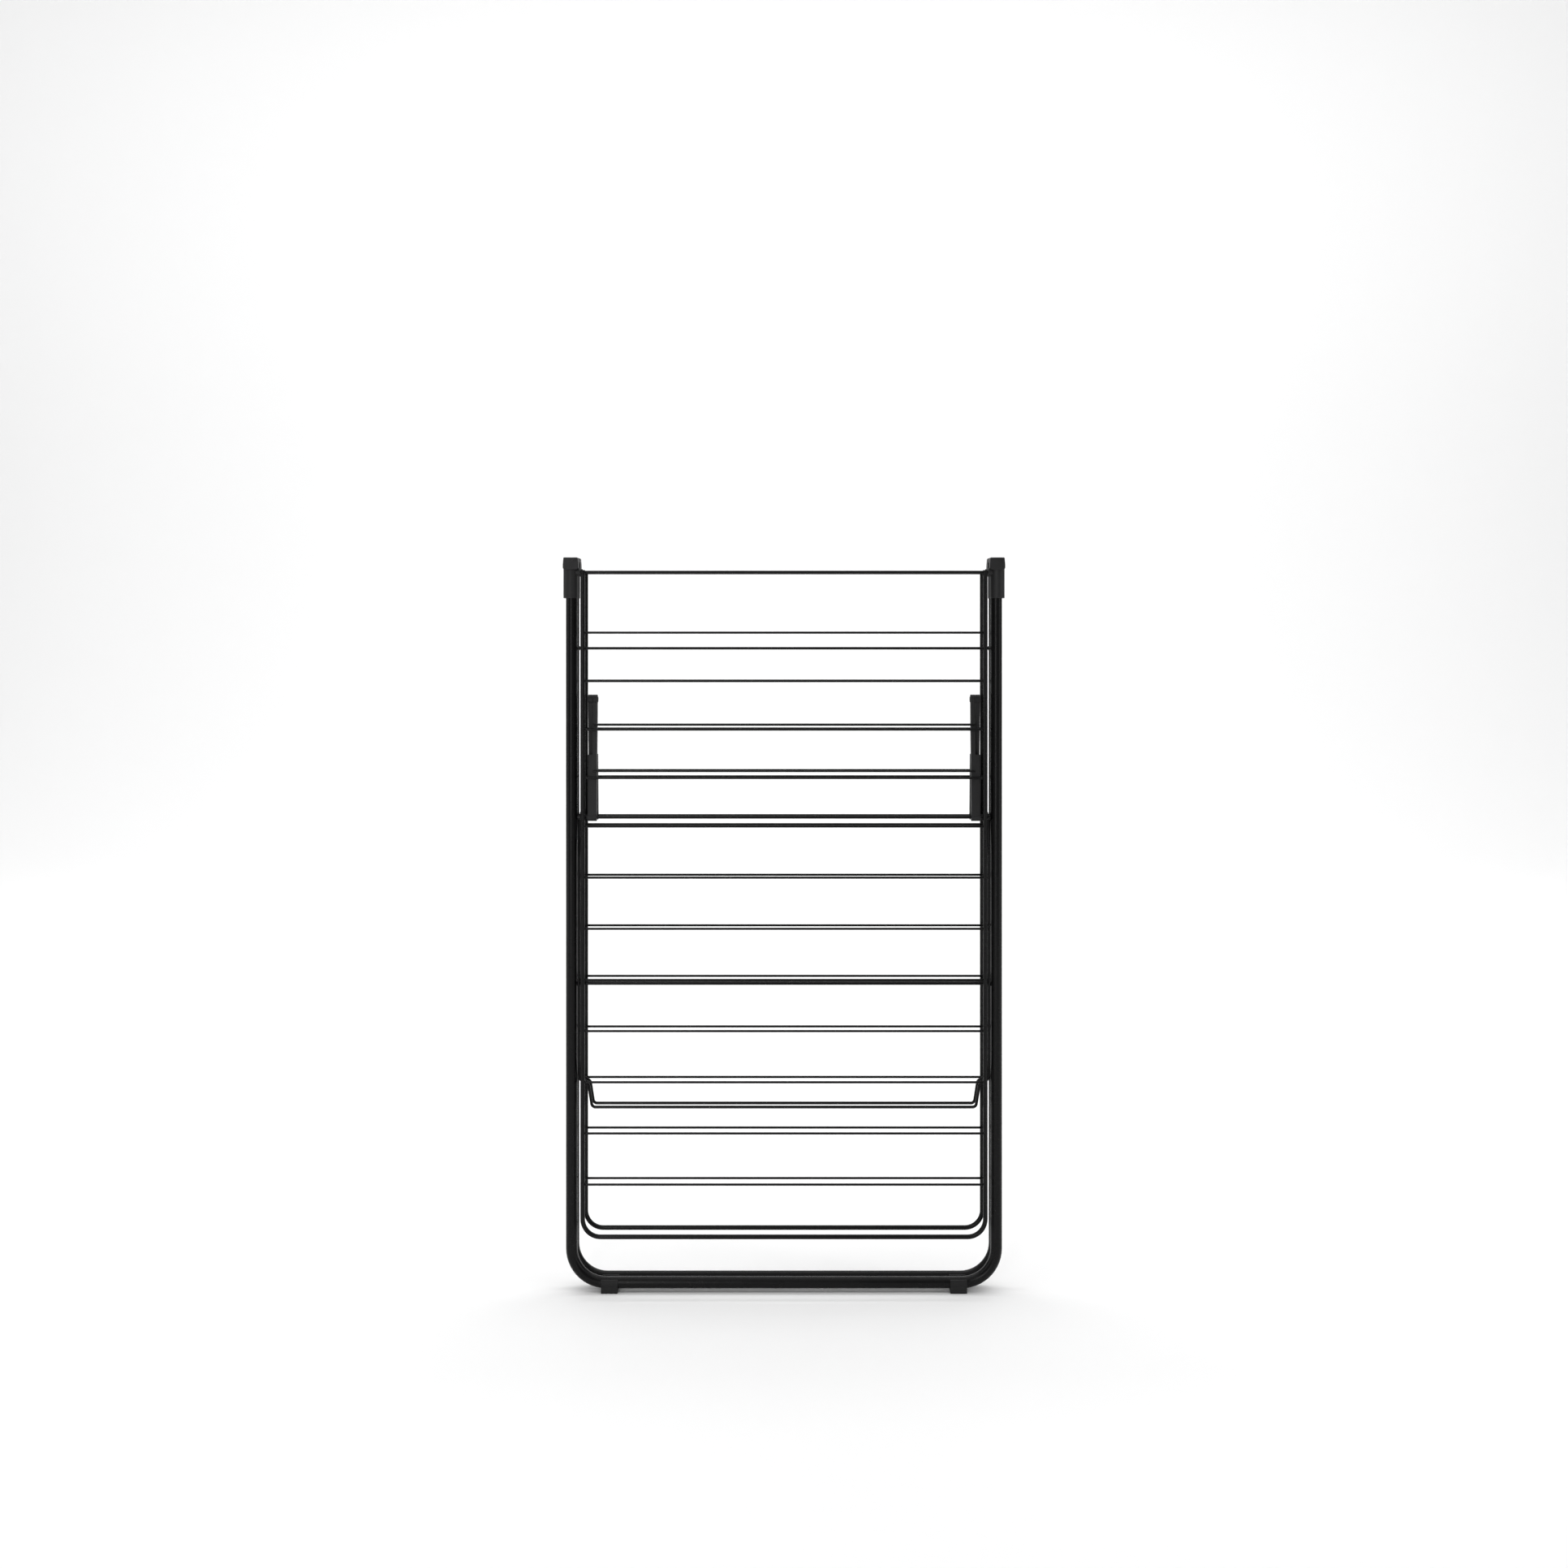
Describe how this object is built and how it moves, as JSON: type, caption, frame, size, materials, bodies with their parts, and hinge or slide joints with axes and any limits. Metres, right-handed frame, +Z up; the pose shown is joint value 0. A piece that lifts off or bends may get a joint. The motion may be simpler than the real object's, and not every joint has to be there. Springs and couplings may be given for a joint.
{
  "type": "folding clothes airer",
  "caption": "Free-standing folding clothes airer: hinged tube leg frames, swing-out wire drying wings with supports, and a folding wire shelf between the legs.",
  "frame": {"origin": "on the floor, midway between the left and right legs and midway between the front and rear leg frames, in the folded pose", "axes": "+X towards the airer's right as seen from the front, -Y towards the front, +Z up"},
  "size_m": [0.5738, 0.042, 0.9526],
  "materials": {
    "leg_steel": "satin black powder coat",
    "wing_steel": "satin black powder coat",
    "wire_steel": "satin black powder coat",
    "pin_steel": "satin black",
    "cap_plastic": "matt black moulded",
    "leaf_plastic": "matt black moulded",
    "foot_plastic": "matt black moulded"
  },
  "bodies": {
    "front_leg": {"leg_tube_front": "leg_steel", "upper_brace_front": "wire_steel", "spreader_rod_front": "wire_steel", "lower_brace_front": "wire_steel", "top_cap_front_left": "cap_plastic", "top_cap_front_right": "cap_plastic", "feet_front": "foot_plastic", "hinge_pins": "pin_steel"},
    "front_wing": {"wing_frame_front": "wing_steel", "wing_pivot_rod_front": "wire_steel", "wing_wires_front": "wire_steel"},
    "front_support": {"wing_support_front": "wing_steel"},
    "front_shelf_leaf": {"shelf_leaf_front_left": "leaf_plastic", "shelf_leaf_front_right": "leaf_plastic", "shelf_wires_front": "wire_steel", "shelf_rivets": "pin_steel"},
    "rear_leg": {"leg_tube_rear": "leg_steel", "upper_brace_rear": "wire_steel", "spreader_rod_rear": "wire_steel", "lower_brace_rear": "wire_steel", "top_cap_rear_left": "cap_plastic", "top_cap_rear_right": "cap_plastic", "feet_rear": "foot_plastic"},
    "rear_wing": {"wing_frame_rear": "wing_steel", "wing_pivot_rod_rear": "wire_steel", "wing_wires_rear": "wire_steel"},
    "rear_support": {"wing_support_rear": "wing_steel"},
    "rear_shelf_leaf": {"shelf_leaf_rear_left": "leaf_plastic", "shelf_leaf_rear_right": "leaf_plastic", "shelf_wires_rear": "wire_steel"}
  },
  "joints": [
    {"name": "leg_hinge", "type": "hinge", "parent": "front_leg", "child": "rear_leg", "pos_m": [0, 0, 0.943], "axis": [1, 0, 0], "range_deg": [0, 50.41]},
    {"name": "front_leaf_pivot", "type": "hinge", "parent": "front_leg", "child": "front_shelf_leaf", "pos_m": [0, -0.01, 0.6158], "axis": [-1, 0, 0], "range_deg": [0, 47.1]},
    {"name": "rear_leaf_pivot", "type": "hinge", "parent": "rear_leg", "child": "rear_shelf_leaf", "pos_m": [0, 0.01, 0.6158], "axis": [1, 0, 0], "range_deg": [0, 47.1]},
    {"name": "front_wing_pivot", "type": "hinge", "parent": "front_leg", "child": "front_wing", "pos_m": [0, -0.013, 0.9337], "axis": [-1, 0, 0], "range_deg": [0, 62.39]},
    {"name": "rear_wing_pivot", "type": "hinge", "parent": "rear_leg", "child": "rear_wing", "pos_m": [0, 0.013, 0.9337], "axis": [1, 0, 0], "range_deg": [0, 62.39]},
    {"name": "front_support_pivot", "type": "hinge", "parent": "front_leg", "child": "front_support", "pos_m": [0, -0.01, 0.6158], "axis": [-1, 0, 0], "range_deg": [0, 110.57]},
    {"name": "rear_support_pivot", "type": "hinge", "parent": "rear_leg", "child": "rear_support", "pos_m": [0, 0.01, 0.6158], "axis": [1, 0, 0], "range_deg": [0, 110.57]}
  ],
  "couplings": [
    {"joint": "front_leaf_pivot", "follows": "leg_hinge", "ratio": 0.93331},
    {"joint": "rear_leaf_pivot", "follows": "leg_hinge", "ratio": 0.93331},
    {"joint": "front_support_pivot", "follows": "front_wing_pivot", "ratio": 1.7714},
    {"joint": "rear_support_pivot", "follows": "rear_wing_pivot", "ratio": 1.7714}
  ]
}
